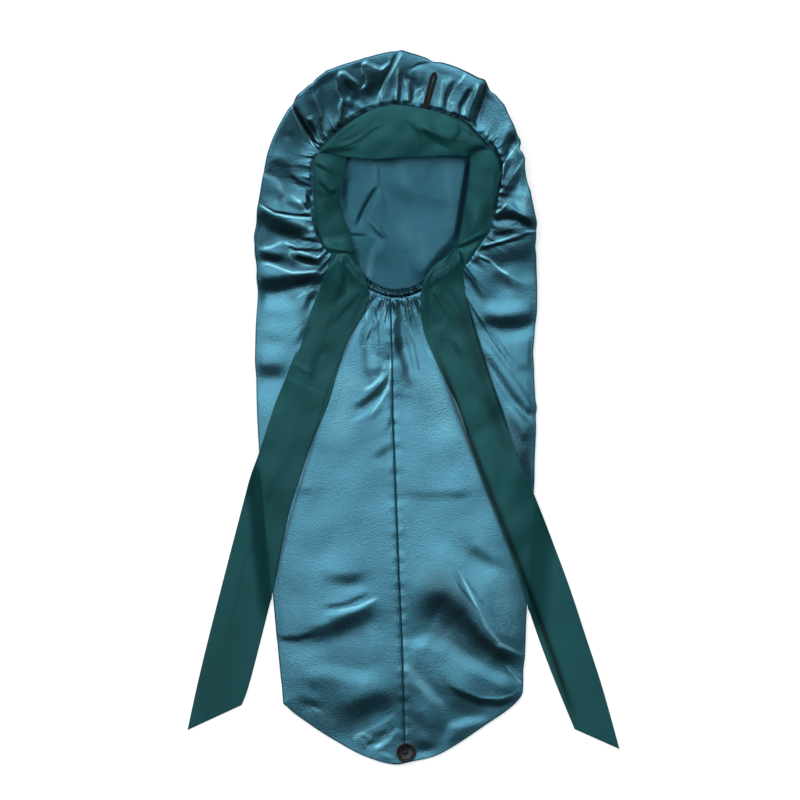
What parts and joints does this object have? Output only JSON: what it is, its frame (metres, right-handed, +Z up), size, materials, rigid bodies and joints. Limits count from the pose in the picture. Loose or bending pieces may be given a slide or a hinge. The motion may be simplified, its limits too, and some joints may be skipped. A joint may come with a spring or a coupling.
{
  "type": "satin sleep bonnet for braids",
  "caption": "Long satin sleep bonnet lying flat, face opening up, with a gathered crown, wide headband with two long ties, elastic nape, button loop and a closed tail with a button.",
  "frame": {"origin": "centre of the bounding box on the surface that the bonnet lies on", "axes": "+Z up out of the face opening, +Y along the length towards the crown, +X to the right as seen from above with the crown at the top"},
  "size_m": [0.433, 0.7101, 0.0385],
  "materials": {
    "satin": "glossy teal-blue satin, dull on the reverse",
    "band_cloth": "matte dark green satin",
    "elastic": "black braided elastic cord",
    "button_plastic": "glossy black"
  },
  "bodies": {
    "root": {"satin_body": "satin", "nape_elastic": "satin", "headband": "band_cloth", "tie_left": "band_cloth", "tie_right": "band_cloth", "button_loop": "elastic", "button": "button_plastic"}
  },
  "joints": []
}
